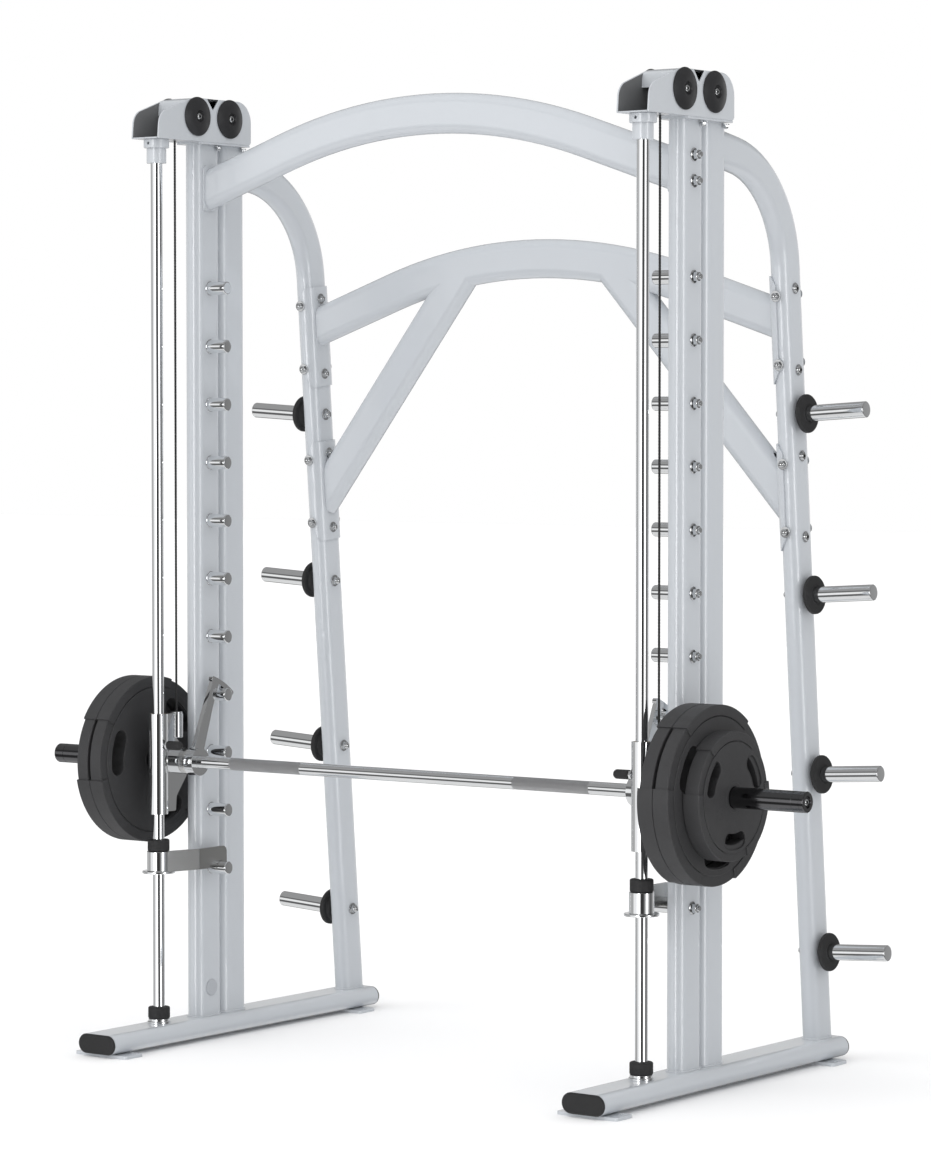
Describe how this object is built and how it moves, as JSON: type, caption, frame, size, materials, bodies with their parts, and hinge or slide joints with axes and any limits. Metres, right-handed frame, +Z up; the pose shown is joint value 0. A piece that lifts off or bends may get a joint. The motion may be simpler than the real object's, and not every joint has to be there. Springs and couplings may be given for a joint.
{
  "type": "smith machine",
  "caption": "Counterbalanced barbell frame: a bar on vertical guide rods between two braced posts, with rack pegs, hooks, stops and plate storage.",
  "frame": {"origin": "centre of the footprint, on the floor", "axes": "+Z up, X across the machine along the bar, -Y towards the open side with the guide rods, +Y towards the braced back"},
  "size_m": [2.304, 1.102, 2.4359],
  "materials": {
    "frame_paint": "semi-gloss powder coat",
    "chrome": "polished",
    "zinc": "bright zinc",
    "black_rubber": "matte",
    "plate_rubber": "matte coated iron",
    "black_plastic": "fine grain",
    "grey_plastic": "satin",
    "sleeve_black": "black nickel",
    "cable": "coated steel cable",
    "cast_iron": "painted"
  },
  "bodies": {
    "frame": {"base_rails": "frame_paint", "rail_end_caps": "black_plastic", "foot_plates": "frame_paint", "front_posts": "frame_paint", "rear_posts": "frame_paint", "hole_plugs": "grey_plastic", "rack_pegs": "chrome", "peg_nuts": "zinc", "back_legs": "frame_paint", "saddle_plates": "frame_paint", "saddle_bolts": "zinc", "front_arch": "frame_paint", "front_arch_bolts": "zinc", "rear_arch": "frame_paint", "rear_braces": "frame_paint", "storage_horns": "chrome", "horn_discs": "black_rubber", "horn_nuts": "zinc", "pulley_housings": "frame_paint", "post_top_plates": "frame_paint", "head_bolts": "zinc", "pulley_caps": "black_plastic", "pulley_axles": "zinc", "pulley_bearings": "zinc", "cable_bushes": "black_plastic", "cable_front_runs": "cable", "cable_top_runs": "cable", "cable_rear_run_left": "cable", "cable_rear_run_right": "cable", "guide_rods": "chrome", "rod_base_sockets": "chrome", "rod_base_bumpers": "black_rubber", "rod_top_collars": "frame_paint"},
    "carriage": {"carriage_left": "chrome", "carriage_right": "chrome", "linear_bearings": "zinc", "cable_anchors": "chrome", "bar_bearings": "chrome", "hook_stop_studs": "chrome", "hook_stop_bumpers": "black_rubber"},
    "bar": {"bar": "chrome", "rack_hooks": "chrome", "bar_sleeves": "sleeve_black", "sleeve_end_caps": "sleeve_black"},
    "plates_left": {"plates_45_left": "plate_rubber", "plate_25_left": "plate_rubber"},
    "counterweight_left": {"counterweight_left": "cast_iron"},
    "front_pulley_left": {"front_pulley_left": "black_plastic"},
    "rear_pulley_left": {"rear_pulley_left": "black_plastic"},
    "stop_left": {"stop_collar_left": "chrome", "stop_bumper_left": "black_rubber", "stop_arm_left": "zinc"},
    "plates_right": {"plates_45_right": "plate_rubber", "plate_25_right": "plate_rubber"},
    "counterweight_right": {"counterweight_right": "cast_iron"},
    "front_pulley_right": {"front_pulley_right": "black_plastic"},
    "rear_pulley_right": {"rear_pulley_right": "black_plastic"},
    "stop_right": {"stop_collar_right": "chrome", "stop_bumper_right": "black_rubber", "stop_arm_right": "zinc"}
  },
  "joints": [
    {"name": "carriage_slide", "type": "slide", "parent": "frame", "child": "carriage", "axis": [0, 0, 1], "range_m": [0, 0.09], "deforming": ["cable_front_runs"]},
    {"name": "bar_turn", "type": "hinge", "parent": "carriage", "child": "bar", "pos_m": [0, -0.227, 0.73], "axis": [1, 0, 0], "range_deg": [0, 60]},
    {"name": "counterweight_left_slide", "type": "slide", "parent": "frame", "child": "counterweight_left", "axis": [0, 0, 1], "range_m": [-0.09, 0], "deforming": ["cable_rear_run_left"]},
    {"name": "front_pulley_left_spin", "type": "hinge", "parent": "frame", "child": "front_pulley_left", "pos_m": [-0.745, -0.197, 2.386], "axis": [1, 0, 0], "continuous": true},
    {"name": "rear_pulley_left_spin", "type": "hinge", "parent": "frame", "child": "rear_pulley_left", "pos_m": [-0.745, -0.068, 2.386], "axis": [1, 0, 0], "continuous": true},
    {"name": "stop_left_lift", "type": "slide", "parent": "frame", "child": "stop_left", "axis": [0, 0, 1], "range_m": [0, 0.05]},
    {"name": "plates_left_slide", "type": "slide", "parent": "bar", "child": "plates_left", "axis": [-1, 0, 0], "range_m": [0, 0.19]},
    {"name": "counterweight_right_slide", "type": "slide", "parent": "frame", "child": "counterweight_right", "axis": [0, 0, 1], "range_m": [-0.09, 0], "deforming": ["cable_rear_run_right"]},
    {"name": "front_pulley_right_spin", "type": "hinge", "parent": "frame", "child": "front_pulley_right", "pos_m": [0.745, -0.197, 2.386], "axis": [1, 0, 0], "continuous": true},
    {"name": "rear_pulley_right_spin", "type": "hinge", "parent": "frame", "child": "rear_pulley_right", "pos_m": [0.745, -0.068, 2.386], "axis": [1, 0, 0], "continuous": true},
    {"name": "stop_right_lift", "type": "slide", "parent": "frame", "child": "stop_right", "axis": [0, 0, 1], "range_m": [0, 0.05]},
    {"name": "plates_right_slide", "type": "slide", "parent": "bar", "child": "plates_right", "axis": [1, 0, 0], "range_m": [0, 0.19]}
  ],
  "couplings": [
    {"joint": "counterweight_left_slide", "follows": "carriage_slide", "ratio": -1},
    {"joint": "front_pulley_left_spin", "follows": "carriage_slide", "rad_per_m": -27.778},
    {"joint": "rear_pulley_left_spin", "follows": "carriage_slide", "rad_per_m": -27.778},
    {"joint": "counterweight_right_slide", "follows": "carriage_slide", "ratio": -1},
    {"joint": "front_pulley_right_spin", "follows": "carriage_slide", "rad_per_m": -27.778},
    {"joint": "rear_pulley_right_spin", "follows": "carriage_slide", "rad_per_m": -27.778}
  ]
}
